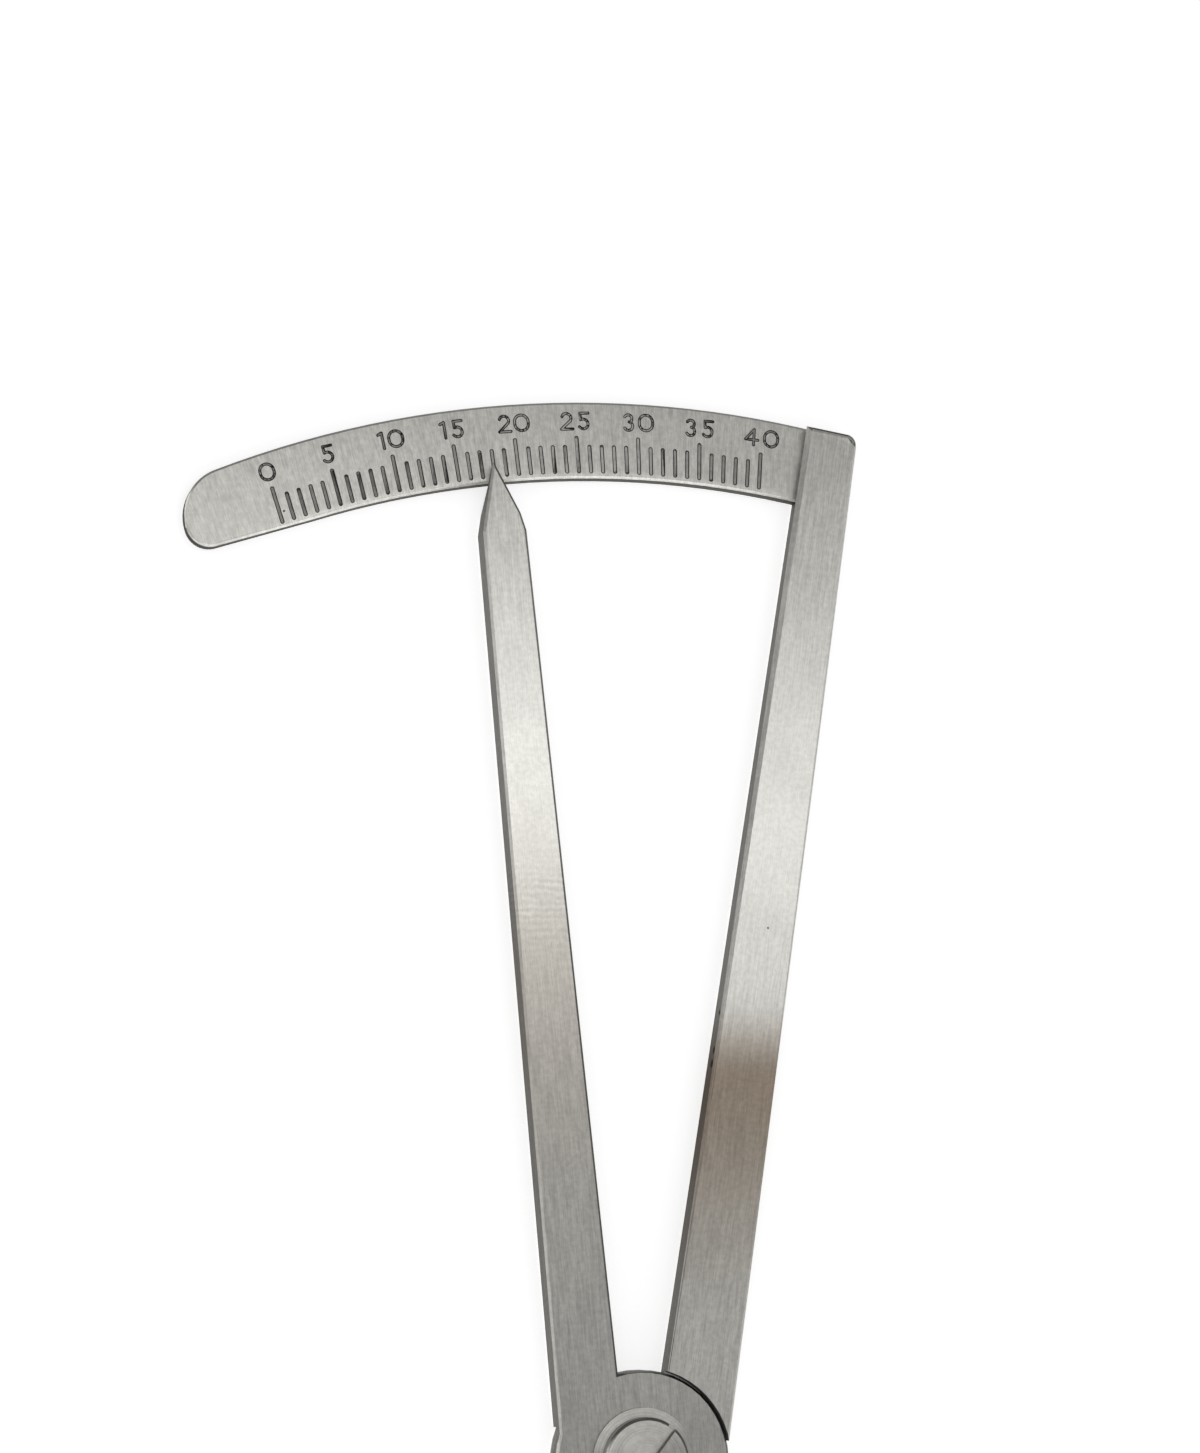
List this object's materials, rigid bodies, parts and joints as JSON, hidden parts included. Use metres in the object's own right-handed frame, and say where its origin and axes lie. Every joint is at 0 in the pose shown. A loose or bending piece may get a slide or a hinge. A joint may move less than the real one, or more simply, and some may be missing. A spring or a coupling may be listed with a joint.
{
  "type": "castroviejo caliper",
  "caption": "Surgical caliper with an engraved arc scale on one arm and a pointer on the other; squeezing the arms opens two measuring points.",
  "frame": {"origin": "on the pivot's axis, in the plane of the flat back", "axes": "+Z is the normal of the graduated front, +Y runs from the pivot up to the scale, +X to the scale arm's side"},
  "size_m": [0.0557, 0.1644, 0.0038],
  "materials": {
    "scale_steel": "satin ground stainless, engraved",
    "arm_steel": "satin, ground along the arm",
    "screw_steel": "turned and polished",
    "washer_steel": "spring steel, satin"
  },
  "bodies": {
    "scale_side": {"scale_plate": "scale_steel", "scale_arm": "arm_steel", "pivot_screw": "screw_steel", "spring_washer": "washer_steel", "joint_washer": "washer_steel"},
    "pointer_side": {"pointer_arm": "arm_steel"}
  },
  "joints": [
    {"name": "pivot", "type": "hinge", "parent": "scale_side", "child": "pointer_side", "pos_m": [0, 0, 0], "axis": [0, 0, 1], "range_deg": [-16.14, 13]}
  ]
}
